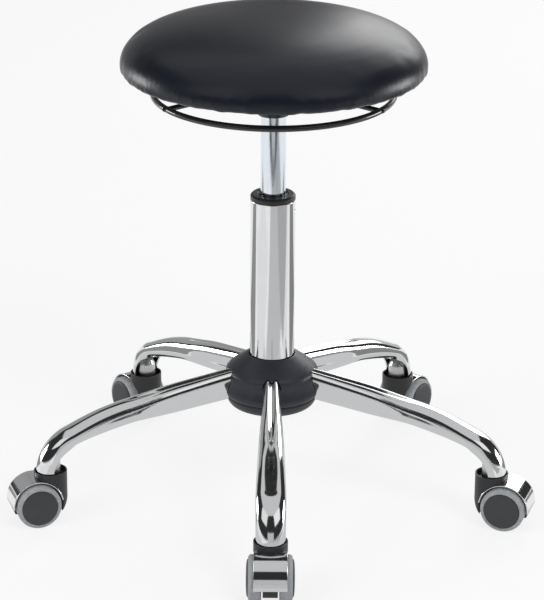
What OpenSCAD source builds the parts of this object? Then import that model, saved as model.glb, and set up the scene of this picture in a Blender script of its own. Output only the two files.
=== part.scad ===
// Rolling work stool: padded round seat on a gas lift, released by a ring
// under the seat, on a five-legged chrome base with hooded twin-wheel casters.
// Origin on the floor under the column's axis, +Z up, one leg along -Y.

/* [Seat] */
// Radius of the cushion at its widest line
seat_r = 170; // [155:1:185]
// Height of the whole cushion
seat_h = 60.5; // [54:0.5:70]
// Height of the widest line above the underside
belly_h = 6.5; // [5:0.5:9]
// How far the lower edge draws in under the widest line
tuck = 9; // [6:0.5:12]
// Thickness of the covering
skin_t = 1.5; // [1:0.1:2]
// Thickness of the wooden board in the seat
board_t = 15; // [12:0.5:18]
// How far the covering is folded in under the board
fold_in = 26; // [20:1:34]

/* [Seat plate and ring lever] */
// Radius of the plate's screwed flange
plate_r = 75; // [70:1:85]
// Thickness of the plate's steel
plate_t = 3; // [2.5:0.1:3.5]
// Outer radius of the plate's deep pan
pan_r = 48; // [46:0.5:52]
// Depth of the tapered socket that seats the gas cylinder
socket_h = 24; // [20:0.5:28]
// Radius of the ring, to the middle of its wire
ring_r = 131.2; // [120:0.2:140]
// Radius of the ring's wire
ring_wire_r = 3.5; // [3:0.1:4]
// Radius of the three arms' wire
arm_wire_r = 3; // [2.5:0.1:3.2]
// How far the ring hangs below the lever disc
ring_drop = 10; // [8:0.1:12]
// Distance from the axis to the edge that the disc tips on
fulcrum_r = 36; // [34:0.5:37]
// Travel of the release button
button_stroke = 3; // [2:0.1:3.2]

/* [Gas lift] */
// Radius of the gas cylinder
cylinder_r = 14; // [13:0.1:15]
// Length of bare cylinder above the guide at rest
lift_out = 91; // [88:1:110]
// Travel down from rest
lift_down = 85; // [60:1:86]
// Travel up from rest
lift_up = 45; // [30:1:50]
// Radius of the piston rod
rod_r = 5; // [4:0.1:5.5]
// Outer radius of the column tube
tube_r = 25; // [24:0.1:26]
// Wall of the column tube
tube_wall = 1.5; // [1.2:0.1:2]
// Length of the column tube
tube_h = 248.5; // [240:0.5:260]
// Height of the guide's black collar above the tube
collar_h = 6.5; // [5:0.5:9]

/* [Base] */
// Radius from the column to the caster stems
stem_circle_r = 258; // [235:1:275]
// Slope of the straight run that a leg starts with
leg_slope = 8.8; // [7:0.1:10]
// Radius of the long arc along a leg
leg_arc_r = 320; // [290:5:370]
// Radius of the tight bend at a leg's end
leg_bend_r = 43; // [40:0.5:47]
// Height of a leg at the hub
leg_hub_h = 36; // [33:0.5:37]
// Width of a leg at the hub
leg_hub_w = 20; // [18:0.5:23]
// Height of a leg before the bend
leg_out_h = 20; // [19:0.5:24]
// Width of a leg before the bend
leg_out_w = 33; // [31:0.5:34]
// Wall of the leg's tube
leg_wall = 2; // [1.6:0.1:2.4]
// Radius of the two hub covers
hub_r = 54; // [52:0.5:58]

/* [Casters] */
// Radius of the wheels
wheel_r = 25; // [23:0.5:27]
// Width over both wheels and their caps
caster_w = 52; // [50:0.5:56]
// Distance from the swivel axis out to the axle
trail = 18; // [16:0.5:20]
// Radius of the black neck
neck_r = 18.4; // [17.5:0.1:20]
// Width of the chrome hood
hood_w = 36; // [34:0.5:38]
// Wall of the chrome hood
hood_wall = 1.5; // [1:0.1:2]
// Radius of the stem
stem_r = 5.5; // [4.5:0.1:5.7]

/* [Hidden] */
$fn = 64;
over = 1;
hair = 0.05;
run_gap = 0.05;
leg_count = 5;
first_leg_angle = -90;
function leg_angle(i) = first_leg_angle - 360 / leg_count * (i - 1);

// Caster heights, from the floor up
hood_gap = 2;
hood_in_r = wheel_r + hood_gap;
hood_r = hood_in_r + hood_wall;
hood_tilt = 6.5;
hood_lift = 1.2;
cup_floor_t = 1.2;
cup_floor_z = wheel_r + hood_r + cup_floor_t;
cup_h = 5;
cup_wall = 1.4;
neck_top_z = cup_floor_z + cup_h;
stem_flange_t = 1.4;
stem_flange_r = 8;
leg_end_z = cup_floor_z + run_gap + stem_flange_t + hair;
axle_r = 3;
axle_w = 44.6;
web_w = 16;
web_low_z = 14;
web_gap = 0.3;
bridge_back = 11;
bridge_front = 14;
skirt_r = 31;
skirt_z = 39;
stem_low_z = 30;

// Wheels, measured outward from the caster's middle
tyre_t = 4.5;
rim_r = wheel_r - tyre_t;
cap_inset = 0.5;
cap_r = rim_r - cap_inset;
tyre_in_w = 9.6;
cap_t = 2.7;
tyre_out_w = caster_w / 2 - cap_t - run_gap;
wheel_hub_r = 8;
wheel_hub_gap = 0.5;
wheel_wall = 2.6;
tyre_shares = [[0, 0], [0.67, 0], [0.9, 0.03], [1, 0.11],
    [1, 0.78], [0.87, 0.91], [0.6, 0.99], [0, 1.03]];
cap_shares = [[0, 0], [1, 0], [1, 0.35], [0.93, 0.62], [0.78, 0.8], [0.5, 0.93], [0, 1]];

// Legs: a straight run down from the sleeve, a long arc and a tight bend, in one upright plane
sleeve_wall = 4.5;
sleeve_r = tube_r + sleeve_wall;
saddle_w = 6;
leg_start_x = sleeve_r - saddle_w;
leg_run_x = 153;
leg_gap = 1;
leg_end_r = neck_r - cup_wall - leg_gap;
leg_foot_h = 3.3;
leg_arc_x = stem_circle_r - leg_bend_r - leg_run_x + leg_arc_r * sin(leg_slope);
leg_turn = asin(leg_arc_x / (leg_arc_r - leg_bend_r));
bend_z = leg_end_z + leg_foot_h;
leg_run_z = bend_z + leg_bend_r * cos(leg_turn) + leg_arc_r * (cos(leg_slope) - cos(leg_turn));
leg_z = leg_run_z + (leg_run_x - leg_start_x) * tan(leg_slope);
mouth_r = 32.5;
stem_socket_r = 11;
stem_socket_h = 20.5;
stem_socket_nose_h = 5;
stem_socket_nose_r = 8.5;
weld_w = 6;
weld_gap = 0.15;
stem_top_gap = 1;
stem_top_z = leg_end_z + stem_socket_h - stem_top_gap;
grip_rise = 8;
grip_z = leg_end_z + grip_rise;
grip_h = 5;
grip_depth = 0.7;
grip_slot_w = 1.4;

// Hub and column
tube_drop = 38.1;
tube_z = leg_z - tube_drop;
tube_top_z = tube_z + tube_h;
tube_floor_t = 4;
taper_h = 66;
taper_r = 24.1;
sleeve_under = 6;
sleeve_above = 4;
sleeve_z = leg_z - leg_hub_h / 2 - sleeve_under;
sleeve_h = leg_hub_h + sleeve_under + sleeve_above;
cover_t = 2.5;
cover_gap = 1.2;
cover_h = 48;
seam_rise = 18.5;
seam_z = tube_z + seam_rise;
bowl_h = 16.5;
bowl_inset = 2.8;
bowl_r = hub_r - bowl_inset;
slot_gap = 0.8;
slot_place = 0.2;
cover_shares = [[0, 1], [0.06, 0.985], [0.17, 0.945], [0.5, 0.82], [0.745, 0.715], [0.853, 0.655],
    [0.914, 0.59], [0.928, 0.47], [0.926, 0.38], [0.95, 0.285], [0.985, 0.2], [1, 0.15],
    [0.996, 0.1], [0.964, 0.047], [0.905, 0.01], [0.87, 0]];
bowl_shares = [[0, 0], [0.3, 0.04], [0.5, 0.12], [0.68, 0.23], [0.83, 0.37], [0.93, 0.57],
    [0.985, 0.8], [1, 0.93], [0.97, 1]];

// Guide, bearing and gas cylinder
guide_len = 67;
guide_top_z = tube_top_z + collar_h;
guide_z = guide_top_z - guide_len;
guide_lip = 2;
stake_r = 4;
stake_depth = 1;
stake_drop = 12;
stake_angle = -15;
race_r = 16;
race_t = 1.5;
ball_r = 2;
ball_count = 8;
ball_circle_r = 10.5;
cage_t = 2;
cage_w = 7;
bearing_z = tube_z + tube_floor_t + hair;
ball_z = bearing_z + race_t + hair + ball_r;
bumper_z = ball_z + ball_r + hair + race_t + 2 * hair;
bumper_h = 18;
bumper_r = 13;
rod_foot_r = 4;
rod_end_h = 4;
clip_t = 1.2;
clip_r = 8;
clip_depth = 0.9;
clip_gap = 0.3;
clip_slot_w = 5;
clip_z = tube_z - clip_gap - clip_t;
bumper_gap = 4;
piston_reserve = 27;
socket_z = guide_top_z + lift_out;
cylinder_low_z = bumper_z + bumper_h + lift_down + bumper_gap;
cylinder_top_z = socket_z + socket_h;
taper_in = 0.6;
cylinder_tip_r = cylinder_r - taper_in;
cylinder_wall = 1.8;
chamber_in_h = 5;
chamber_top_z = socket_z + chamber_in_h;
lip_t = 2;
gland_h = 14;
seal_h = 6;
piston_h = 14;
piston_z = cylinder_low_z + lip_t + gland_h + seal_h + lift_up + piston_reserve;
spigot_r = 3.5;
spigot_h = 4;

// Release button, lever disc and the plate that carries the seat
button_r = 4;
button_out = 10;
button_in = 8;
button_nose = 1;
button_gap = 0.3;
disc_t = 2.5;
disc_rim_w = 2;
disc_r = fulcrum_r + disc_rim_w;
disc_z = cylinder_top_z + button_out + button_gap;
ridge_gap = 0.3;
ridge_w = 3;
ridge_h = 3;
keeper_z = disc_z + disc_t + ridge_gap;
keeper_t = 3;
seat_gap = 3.4;
seat_z = keeper_z + ridge_h + keeper_t + seat_gap;
arm_count = 3;
first_arm_angle = 90;
arm_in_r = 14;
arm_sink = 1.5;
arm_z = disc_z - arm_wire_r + arm_sink;
ring_z = disc_z - ring_drop;
arm_run = ring_r - arm_in_r;
arm_fall = arm_z - ring_z;
arm_slot_w = 9;
arm_floor_gap = 1;
arm_dip = (fulcrum_r + pan_r) * button_stroke / fulcrum_r;
pan_arm_z = arm_z - arm_fall * (pan_r - arm_in_r) / arm_run;
pan_floor_z = pan_arm_z - arm_wire_r - arm_dip - arm_floor_gap;
plate_socket_r = 17.5;
screw_count = 4;
first_screw_angle = 45;
screw_circle_r = 62;
screw_r = 3;
screw_head_r = 5.5;
screw_head_h = 3.5;
screw_key_r = 2.9;
screw_key_h = 2;
screw_gap = 0.3;
nut_r = 4.2;
nut_flange_r = 9;
nut_flange_t = 1.5;

// Seat board, covering and staples
board_inset = 3;
board_r = seat_r - tuck - skin_t - board_inset;
board_z = seat_z + skin_t + hair;
crown_h = seat_h - belly_h;
crown_share = 0.8;
belly_share = 0.9;
crown_steps = 26;
belly_steps = 8;
staple_count = 28;
staple_w = 9;
staple_t = 0.8;
staple_in = 8;

chrome = [0.82, 0.83, 0.85];
steel = [0.62, 0.64, 0.67];
black = [0.09, 0.09, 0.1];
dark_grey = [0.2, 0.2, 0.22];
tyre_grey = [0.6, 0.62, 0.63];
vinyl = [0.07, 0.08, 0.1];

function power(value, share) = sign(value) * pow(abs(value), share);

// Cylinder and bored ring between two heights
module rod_between(r, low, high) {
    translate([0, 0, low]) cylinder(r = r, h = high - low);
}

module ring_between(out_r, in_r, low, high) {
    difference() {
        rod_between(out_r, low, high);
        rod_between(in_r, low - over, high + over);
    }
}

module around(count, first_angle, r) {
    for (i = [0 : count - 1])
        rotate([0, 0, first_angle + 360 / count * i]) translate([r, 0, 0]) children();
}

// Frame of one caster: origin on the floor under its swivel axis, +X outward
module at_caster(i) {
    rotate([0, 0, leg_angle(i)]) translate([stem_circle_r, 0, 0]) children();
}

// Turns a shape that is round about Z into one that is round about the axle
module on_axle() {
    translate([trail, 0, wheel_r]) rotate([-90, 0, 0]) children();
}

// Cushion outline from the underside's centre to the crown, drawn in by inset
function cushion_outline(inset) = concat(
    [[0, seat_z + inset]],
    [for (i = [0 : belly_steps]) let (a = 90 - 90 * i / belly_steps)
        [seat_r - tuck + (tuck - inset) * power(cos(a), belly_share),
         seat_z + belly_h - (belly_h - inset) * power(sin(a), belly_share)]],
    [for (i = [1 : crown_steps]) let (a = 90 * i / crown_steps)
        [i == crown_steps ? 0 : (seat_r - inset) * power(cos(a), crown_share),
         seat_z + belly_h + (crown_h - inset) * power(sin(a), crown_share)]]);

module seat_cover() {
    color(vinyl) difference() {
        rotate_extrude() polygon(cushion_outline(0));
        rotate_extrude() polygon(cushion_outline(skin_t));
        rod_between(seat_r - tuck - fold_in, seat_z - over, seat_z + skin_t + over);
    }
}

module seat_foam() {
    board_top_z = board_z + board_t;
    color([0.93, 0.86, 0.62]) difference() {
        rotate_extrude() polygon(cushion_outline(skin_t + hair));
        rod_between(board_r + hair, seat_z - over, board_top_z + hair);
        around(screw_count, first_screw_angle, screw_circle_r)
            rod_between(nut_flange_r + screw_gap, board_top_z, board_top_z + nut_flange_t + screw_gap);
    }
}

module seat_board() {
    color([0.72, 0.55, 0.35]) difference() {
        rod_between(board_r, board_z, board_z + board_t);
        around(screw_count, first_screw_angle, screw_circle_r)
            rod_between(nut_r + hair, board_z - over, board_z + board_t + over);
    }
}

module tee_nuts() {
    color(steel) around(screw_count, first_screw_angle, screw_circle_r) difference() {
        union() {
            rod_between(nut_r, board_z + board_t / 3, board_z + board_t + nut_flange_t);
            rod_between(nut_flange_r, board_z + board_t + hair, board_z + board_t + nut_flange_t);
        }
        rod_between(screw_r + hair, board_z, board_z + board_t + nut_flange_t + over);
    }
}

module underside_cloth() {
    color(dark_grey) difference() {
        rod_between(seat_r - tuck - fold_in - hair, seat_z, seat_z + skin_t);
        around(screw_count, first_screw_angle, screw_circle_r)
            rod_between(screw_r + screw_gap, seat_z - over, seat_z + skin_t + over);
    }
}

module cloth_staples() {
    color(steel) around(staple_count, 0, seat_r - tuck - fold_in - staple_in)
        translate([-staple_t / 2, -staple_w / 2, seat_z - staple_t - hair / 2])
            cube([staple_t, staple_w, staple_t]);
}

// Screwed flange, deep pan and tapered socket, pressed and welded as one
module seat_plate() {
    color(black) difference() {
        union() {
            rod_between(plate_r, seat_z - hair - plate_t, seat_z - hair);
            rod_between(pan_r, pan_floor_z - plate_t, seat_z - hair);
            rod_between(plate_socket_r, socket_z, pan_floor_z);
        }
        difference() {
            rod_between(pan_r - plate_t, pan_floor_z, seat_z + over);
            rod_between(plate_socket_r, pan_floor_z - over, cylinder_top_z);
        }
        translate([0, 0, socket_z - over]) cylinder(r = cylinder_r + run_gap, h = over + hair);
        translate([0, 0, socket_z])
            cylinder(r1 = cylinder_r + run_gap, r2 = cylinder_tip_r + run_gap, h = socket_h);
        rod_between(cylinder_tip_r + run_gap, cylinder_top_z - hair, cylinder_top_z + over);
        around(arm_count, first_arm_angle, pan_r)
            translate([-plate_t - over, -arm_slot_w / 2, pan_floor_z])
                cube([plate_t + 2 * over, arm_slot_w, keeper_z + ridge_h - pan_floor_z]);
        around(screw_count, first_screw_angle, screw_circle_r)
            rod_between(screw_r + screw_gap, seat_z - plate_t - over, seat_z + over);
    }
}

module seat_screws() {
    head_top_z = seat_z - plate_t - 2 * hair;
    color(steel) around(screw_count, first_screw_angle, screw_circle_r) difference() {
        union() {
            rod_between(screw_r, head_top_z - screw_head_h / 2, board_z + board_t);
            rod_between(screw_head_r, head_top_z - screw_head_h, head_top_z);
        }
        translate([0, 0, head_top_z - screw_head_h - over])
            cylinder(r = screw_key_r, h = screw_key_h + over, $fn = 6);
    }
}

// Cap in the pan whose round ridge is the edge that the lever disc tips on
module lever_keeper() {
    color(steel) difference() {
        union() {
            rod_between(pan_r - plate_t - hair, keeper_z + ridge_h, keeper_z + ridge_h + keeper_t);
            rod_between(fulcrum_r + ridge_w / 2, keeper_z, keeper_z + ridge_h + hair);
        }
        rod_between(fulcrum_r - ridge_w / 2, keeper_z - over, keeper_z + ridge_h);
    }
}

// One arm: a straight wire from under the disc down to the middle of the ring's wire
module lever_arm() {
    translate([arm_in_r, 0, arm_z]) rotate([0, 90 + atan2(arm_fall, arm_run), 0])
        cylinder(r = arm_wire_r, h = norm([arm_run, arm_fall]));
}

module ring_lever() {
    color(black) union() {
        translate([0, 0, ring_z]) rotate_extrude() translate([ring_r, 0]) circle(r = ring_wire_r);
        rod_between(disc_r, disc_z, disc_z + disc_t);
        around(arm_count, first_arm_angle, 0) lever_arm();
    }
}

module release_button() {
    button_low_z = cylinder_top_z - button_in;
    button_top_z = cylinder_top_z + button_out;
    color(black) {
        rod_between(button_r, button_low_z, button_top_z - button_nose);
        translate([0, 0, button_top_z - button_nose])
            cylinder(r1 = button_r, r2 = button_r / 2, h = button_nose);
    }
}

module gas_cylinder() {
    color(chrome) difference() {
        union() {
            rod_between(cylinder_r, cylinder_low_z, socket_z);
            translate([0, 0, socket_z]) cylinder(r1 = cylinder_r, r2 = cylinder_tip_r, h = socket_h);
        }
        rod_between(cylinder_r - cylinder_wall, cylinder_low_z + lip_t, chamber_top_z);
        rod_between(rod_r + lip_t, cylinder_low_z - over, cylinder_low_z + lip_t + over);
        rod_between(button_r + run_gap, cylinder_top_z - button_in - button_stroke - over,
            cylinder_top_z + over);
    }
}

module cylinder_gland() {
    gland_z = cylinder_low_z + lip_t + hair;
    color("gold") ring_between(cylinder_r - cylinder_wall - hair, rod_r + run_gap,
        gland_z, gland_z + gland_h - hair);
}

module rod_seal() {
    seal_z = cylinder_low_z + lip_t + gland_h + hair;
    color(black) ring_between(cylinder_r - cylinder_wall - hair, rod_r + run_gap, seal_z, seal_z + seal_h);
}

module piston() {
    color(dark_grey)
        ring_between(cylinder_r - cylinder_wall - run_gap, spigot_r + hair,
            piston_z + hair, piston_z + piston_h);
}

module piston_rod() {
    color(steel) difference() {
        union() {
            rod_between(rod_foot_r, tube_z - rod_end_h, bumper_z);
            rod_between(rod_r, bumper_z - hair, piston_z);
            rod_between(spigot_r, piston_z - over, piston_z + piston_h + spigot_h);
            rod_between(rod_r, piston_z + piston_h + hair, piston_z + piston_h + spigot_h);
        }
        ring_between(rod_foot_r + over, rod_foot_r - clip_depth, clip_z - hair, clip_z + clip_t + hair);
    }
}

// Open clip in the rod's groove, under the floor of the column tube
module rod_clip() {
    color(steel) difference() {
        ring_between(clip_r, rod_foot_r - clip_depth + hair, clip_z, clip_z + clip_t);
        translate([0, -clip_slot_w / 2, clip_z - over]) cube([clip_r + over, clip_slot_w, clip_t + 2 * over]);
    }
}

module rubber_bumper() {
    color(dark_grey) ring_between(bumper_r, rod_r + hair, bumper_z, bumper_z + bumper_h);
}

// Loose balls between the two races, and the pocketed ring that spaces them
module bearing_balls() {
    color(steel) around(ball_count, 0, ball_circle_r) translate([0, 0, ball_z]) sphere(r = ball_r);
}

module bearing_cage() {
    color("gold") difference() {
        ring_between(ball_circle_r + cage_w / 2, ball_circle_r - cage_w / 2,
            ball_z - cage_t / 2, ball_z + cage_t / 2);
        around(ball_count, 0, ball_circle_r) translate([0, 0, ball_z]) sphere(r = ball_r + run_gap);
    }
}

module bearing_race_upper() {
    color(steel) ring_between(race_r, rod_foot_r + hair, bumper_z - race_t - 2 * hair, bumper_z - 2 * hair);
}

module bearing_race_lower() {
    color(steel) ring_between(race_r, rod_foot_r + run_gap, bearing_z, bearing_z + race_t);
}

// Straight tube with a tapered foot and a drawn-in floor that the rod hangs in
module column_tube() {
    color(chrome) difference() {
        union() {
            rod_between(tube_r, tube_z + taper_h, tube_top_z);
            translate([0, 0, tube_z]) cylinder(r1 = taper_r, r2 = tube_r, h = taper_h);
        }
        rod_between(tube_r - tube_wall, tube_z + taper_h, tube_top_z + over);
        difference() {
            translate([0, 0, tube_z])
                cylinder(r1 = taper_r - tube_wall, r2 = tube_r - tube_wall, h = taper_h + hair);
            rod_between(tube_r, tube_z - over, tube_z + tube_floor_t);
        }
        rod_between(rod_foot_r + run_gap, tube_z - over, tube_z + tube_floor_t + over);
        for (side = [0, 180])
            rotate([0, 0, stake_angle + side])
                translate([tube_r + stake_r - stake_depth, 0, tube_top_z - stake_drop]) sphere(r = stake_r);
    }
}

// Long guide in the tube's top, with the black collar that shows above it
module guide_bush() {
    color(black) difference() {
        union() {
            rod_between(tube_r - tube_wall - hair, guide_z, guide_top_z - guide_lip);
            rod_between(tube_r, tube_top_z + hair, guide_top_z - guide_lip);
            translate([0, 0, guide_top_z - guide_lip])
                cylinder(r1 = tube_r, r2 = tube_r - guide_lip, h = guide_lip);
        }
        rod_between(cylinder_r + run_gap, guide_z - over, guide_top_z + over);
    }
}

module hub_sleeve() {
    low_r = taper_r + (tube_r - taper_r) * (sleeve_z - tube_z) / taper_h + hair;
    high_r = taper_r + (tube_r - taper_r) * (sleeve_z + sleeve_h - tube_z) / taper_h + hair;
    color(steel) difference() {
        rod_between(sleeve_r, sleeve_z, sleeve_z + sleeve_h);
        translate([0, 0, sleeve_z]) cylinder(r1 = low_r, r2 = high_r, h = sleeve_h);
        rod_between(low_r, sleeve_z - over, sleeve_z + hair);
        rod_between(high_r, sleeve_z + sleeve_h - hair, sleeve_z + sleeve_h + over);
    }
}

// Windows of the legs' own section, with a gap, that the legs pass through
module leg_slots() {
    section = leg_section(slot_place, -slot_gap, leg_sides_count);
    for (i = [1 : leg_count])
        rotate([0, 0, leg_angle(i)]) translate([leg_start_x, 0, leg_z])
            rotate([0, 90 + leg_slope, 0]) rotate([0, 0, 90])
                linear_extrude(height = hub_r) polygon(section);
}

function cover_outline(inset) = [for (share = cover_shares)
    [tube_r + cover_gap + (hub_r - inset - tube_r - cover_gap) * share[0],
     seam_z + (cover_h - inset) * share[1]]];

module hub_cover_top() {
    outer = cover_outline(0);
    inner = cover_outline(cover_t);
    color(black) difference() {
        rotate_extrude() polygon(concat(outer, [for (i = [len(inner) - 1 : -1 : 0]) inner[i]]));
        leg_slots();
    }
}

function bowl_outline(inset) = [for (share = bowl_shares)
    [taper_r + cover_gap + (bowl_r - inset - taper_r - cover_gap) * share[0],
     seam_z - hair - bowl_h + inset + (bowl_h - inset) * share[1]]];

module hub_cover_bottom() {
    outer = bowl_outline(0);
    inner = bowl_outline(cover_t);
    color(black) difference() {
        rotate_extrude() polygon(concat(outer, [for (i = [len(inner) - 1 : -1 : 0]) inner[i]]));
        leg_slots();
    }
}

// Leg sections along u: 0 to 1 straight run, 1 to 2 long arc, 2 to 3 bend, 3 to 4 foot
function leg_place(u) =
    u <= 1 ? [leg_start_x + (leg_run_x - leg_start_x) * u,
              leg_z - (leg_run_x - leg_start_x) * tan(leg_slope) * u, leg_slope] :
    u <= 2 ? let (a = leg_slope + (leg_turn - leg_slope) * (u - 1))
        [leg_run_x + leg_arc_r * (sin(a) - sin(leg_slope)),
         leg_run_z - leg_arc_r * (cos(leg_slope) - cos(a)), a] :
    u <= 3 ? let (a = leg_turn + (90 - leg_turn) * (u - 2))
        [stem_circle_r - leg_bend_r * (1 - sin(a)), bend_z + leg_bend_r * cos(a), a] :
    [stem_circle_r, bend_z - leg_foot_h * (u - 3), 90];

// Shares along u: height and width go from the hub's to the outer end's size, the keel under
// the inner half widens out, and the groove on top and the valley on each side fade away
leg_h_shares = [[0, 0], [0.77, 0.2], [1, 0.65], [1.5, 0.68], [2, 1]];
leg_w_shares = [[0, 0], [0.27, 0.06], [0.94, 0.58], [2, 1]];
keel_shares = [[0, 0.4], [0.6, 0.45], [0.77, 0.6], [0.94, 1]];
groove_shares = [[0, 1], [0.77, 1], [0.94, 0.5], [1.1, 0]];
valley_shares = [[0, 1], [0.6, 1], [0.94, 0]];
section_shares = [[0, 0.72], [1, 0.75], [2, 0.86], [3, 1]];
groove_depth = 3.4;
groove_w = 3;
valley_depth = 2.5;
valley_drop_share = 0.1;
valley_w_share = 0.35;
keel_top_share = 0.4;
function leg_half_h(u) = u <= 2 ?
    (leg_hub_h + (leg_out_h - leg_hub_h) * lookup(u, leg_h_shares)) / 2 :
    leg_out_h / 2 + (leg_end_r - leg_out_h / 2) * min(1, u - 2);
function leg_half_w(u) = u <= 2 ?
    (leg_hub_w + (leg_out_w - leg_hub_w) * lookup(u, leg_w_shares)) / 2 :
    leg_out_w / 2 + (leg_end_r - leg_out_w / 2) * min(1, u - 2);

// Points [across, up] of the section at u, drawn in by inset
function leg_section(u, inset, count) =
    let (half_w = leg_half_w(u), half_h = leg_half_h(u), keel = lookup(u, keel_shares),
         share = lookup(u, section_shares), groove = groove_depth * lookup(u, groove_shares),
         valley = valley_depth * lookup(u, valley_shares))
    [for (k = [0 : count - 1])
        let (a = 360 * k / count, rise = power(sin(a), share),
             low = min(1, max(0, (keel_top_share - rise) / (1 + keel_top_share))),
             y = power(cos(a), share) * (half_w * (1 - (1 - keel) * low) - inset),
             v = (half_h - inset) * rise,
             dip = sin(a) > 0 ? groove * exp(-pow(y / groove_w, 2)) : 0,
             pinch = valley * exp(-pow((rise + valley_drop_share) / valley_w_share, 2)))
        [y - sign(y) * min(abs(y), pinch), v - dip]];

function leg_ring(u, inset, count) =
    let (place = leg_place(u), turn = place[2])
    [for (p = leg_section(u, inset, count))
        [place[0] + p[1] * sin(turn), p[0], place[1] + p[1] * cos(turn)]];

leg_sides_count = 24;
arc_steps = 6;
bend_steps = 5;
leg_stations = concat([0, 0.4, 0.6, 0.77, 0.86, 0.94, 1],
    [for (i = [1 : arc_steps]) 1 + i / arc_steps], [for (i = [1 : bend_steps]) 2 + i / bend_steps], [4]);

// Formed tube, open at both ends, with an arched mouth cut in its lower end
module leg(i) {
    n = leg_sides_count;
    last = len(leg_stations) - 1;
    inner = n * (last + 1);
    points = concat([for (u = leg_stations) each leg_ring(u, 0, n)],
        [for (u = leg_stations) each leg_ring(u, leg_wall, n)]);
    walls = [for (s = [0 : last - 1], k = [0 : n - 1])
        let (a = s * n + k, b = s * n + (k + 1) % n, c = b + n, d = a + n)
        each [[a, d, c], [a, c, b], [inner + a, inner + b, inner + c], [inner + a, inner + c, inner + d]]];
    ends = [for (k = [0 : n - 1])
        let (a = k, b = (k + 1) % n, c = last * n + k, d = last * n + (k + 1) % n)
        each [[a, b, inner + b], [a, inner + b, inner + a], [c, inner + d, d], [c, inner + c, inner + d]]];
    color(chrome) rotate([0, 0, leg_angle(i)]) difference() {
        polyhedron(points = points, faces = concat(walls, ends), convexity = 6);
        rod_between(sleeve_r + hair, sleeve_z, sleeve_z + sleeve_h);
        translate([stem_circle_r - mouth_r + hair, leg_out_w, leg_end_z]) rotate([90, 0, 0])
            cylinder(r = mouth_r, h = 2 * leg_out_w);
    }
}

// Bored steel plugs welded inside the legs' ends
module stem_sockets() {
    plug_z = leg_end_z + stem_socket_h - stem_socket_nose_h;
    color(steel) for (i = [1 : leg_count]) at_caster(i) difference() {
        union() {
            rod_between(stem_socket_r, leg_end_z, plug_z);
            translate([0, 0, plug_z])
                cylinder(r1 = stem_socket_r, r2 = stem_socket_nose_r, h = stem_socket_nose_h);
            intersection() {
                rod_between(leg_end_r - leg_wall - weld_gap, leg_end_z, bend_z);
                translate([0, -weld_w / 2, 0]) cube([leg_end_r, weld_w, bend_z]);
            }
        }
        rod_between(stem_r + hair, leg_end_z - over, leg_end_z + stem_socket_h + over);
    }
}

module caster_stems() {
    color(steel) for (i = [1 : leg_count]) at_caster(i) difference() {
        union() {
            rod_between(stem_r, stem_low_z, stem_top_z);
            rod_between(stem_flange_r, leg_end_z - hair - stem_flange_t, leg_end_z - hair);
        }
        ring_between(stem_r + over, stem_r - grip_depth, grip_z - hair, grip_z + grip_h + hair);
    }
}

module stem_grip_rings() {
    color(steel) for (i = [1 : leg_count]) at_caster(i) difference() {
        ring_between(stem_r, stem_r - grip_depth + hair, grip_z, grip_z + grip_h);
        translate([0, -grip_slot_w / 2, grip_z - over]) cube([stem_r + over, grip_slot_w, grip_h + 2 * over]);
    }
}

// Black body: a cupped neck over the hood, a rounded skirt behind it and a web that carries the axle
module caster_fork(i) {
    color(black) at_caster(i) difference() {
        union() {
            difference() {
                intersection() {
                    rod_between(neck_r, web_low_z - over, neck_top_z);
                    union() {
                        rod_between(neck_r + over, skirt_z, neck_top_z + over);
                        translate([skirt_r - neck_r, 0, skirt_z]) rotate([90, 0, 0])
                            cylinder(r = skirt_r + over, h = 4 * neck_r, center = true);
                    }
                }
                on_axle() cylinder(r = hood_r + hair, h = 4 * neck_r, center = true);
            }
            intersection() {
                on_axle() cylinder(r = hood_in_r - hair, h = web_w, center = true);
                translate([trail - hood_r, -web_w, web_low_z]) cube([2 * hood_r, 2 * web_w, 2 * hood_r]);
            }
            translate([-bridge_back, -web_w / 2, wheel_r])
                cube([bridge_back + bridge_front, web_w, hood_in_r]);
        }
        rod_between(neck_r - cup_wall, cup_floor_z, neck_top_z + over);
        rod_between(stem_r + run_gap, stem_low_z - stem_top_gap, neck_top_z);
        on_axle() cylinder(r = axle_r + hair, h = 2 * web_w, center = true);
    }
}

// Chrome shell over both wheels, slotted where the neck's web comes through
module caster_hood(i) {
    color(chrome) at_caster(i) difference() {
        on_axle() difference() {
            cylinder(r = hood_r, h = hood_w, center = true);
            cylinder(r = hood_in_r, h = hood_w + 2 * over, center = true);
        }
        translate([trail, 0, wheel_r]) rotate([0, hood_tilt, 0])
            translate([-2 * hood_r, -hood_w, hood_lift - 2 * hood_r])
                cube([4 * hood_r, 2 * hood_w, 2 * hood_r]);
        translate([-bridge_back - web_gap, -web_w / 2 - web_gap, wheel_r])
            cube([bridge_back + bridge_front + 2 * web_gap, web_w + 2 * web_gap, 2 * hood_r]);
    }
}

module caster_axle(i) {
    color(steel) at_caster(i) on_axle() cylinder(r = axle_r, h = axle_w, center = true);
}

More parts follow.
